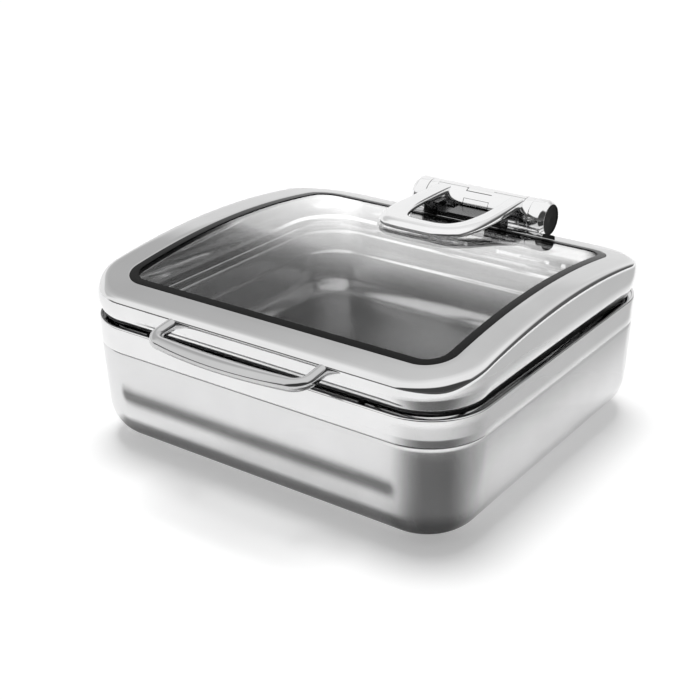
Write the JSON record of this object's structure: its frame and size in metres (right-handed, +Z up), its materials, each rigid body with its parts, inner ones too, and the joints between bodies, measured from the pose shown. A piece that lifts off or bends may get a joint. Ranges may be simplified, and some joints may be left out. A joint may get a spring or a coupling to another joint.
{
  "type": "chafing dish",
  "caption": "Rectangular induction chafing dish: steel water pan with polished rim, lift-out food pan and arched glass lid on a damped rear hinge with a release lever.",
  "frame": {"origin": "middle of the induction plate's flat face, on the table, under the middle of the rim's outline", "axes": "+Z up, +X to the right seen from the handle's side, +Y from the handle to the hinge"},
  "size_m": [0.39, 0.4359, 0.1724],
  "materials": {
    "polished_steel": "mirror polished stainless steel",
    "satin_steel": "satin stainless steel",
    "screw_steel": "plain machined steel",
    "silicone": "matte black silicone",
    "black_plastic": "fine matte black plastic",
    "glass": "clear toughened glass"
  },
  "bodies": {
    "base": {"water_pan": "satin_steel", "rim_frame": "polished_steel", "induction_plate": "satin_steel", "lid_bumpers": "silicone", "damper_housing_left": "polished_steel", "damper_housing_right": "polished_steel", "housing_screws": "screw_steel", "housing_backing_bar": "satin_steel", "damper_left": "black_plastic", "damper_right": "black_plastic", "end_cap_left": "black_plastic", "end_cap_right": "black_plastic"},
    "food_pan": {"food_pan": "satin_steel"},
    "lid": {"lid_frame": "polished_steel", "lid_glass": "glass", "glass_seal": "silicone", "lid_handle": "polished_steel", "handle_screws": "screw_steel", "lid_knuckle": "polished_steel", "knuckle_pad": "silicone", "knuckle_backing_plate": "satin_steel", "knuckle_screws": "screw_steel", "hinge_axle": "satin_steel", "axle_set_screw": "screw_steel", "spacer_rings": "polished_steel"},
    "lever": {"release_lever": "polished_steel", "lever_bushes": "black_plastic", "latch_tab": "satin_steel"}
  },
  "joints": [
    {"name": "lid_hinge", "type": "hinge", "parent": "base", "child": "lid", "pos_m": [0, 0.198, 0.1538], "axis": [-1, 0, 0], "range_deg": [0, 90]},
    {"name": "release_lever_hinge", "type": "hinge", "parent": "lid", "child": "lever", "pos_m": [0, 0.198, 0.1538], "axis": [-1, 0, 0], "range_deg": [0, 45]},
    {"name": "food_pan_lift", "type": "slide", "parent": "base", "child": "food_pan", "axis": [0, 0, 1], "range_m": [0, 0.02]}
  ]
}
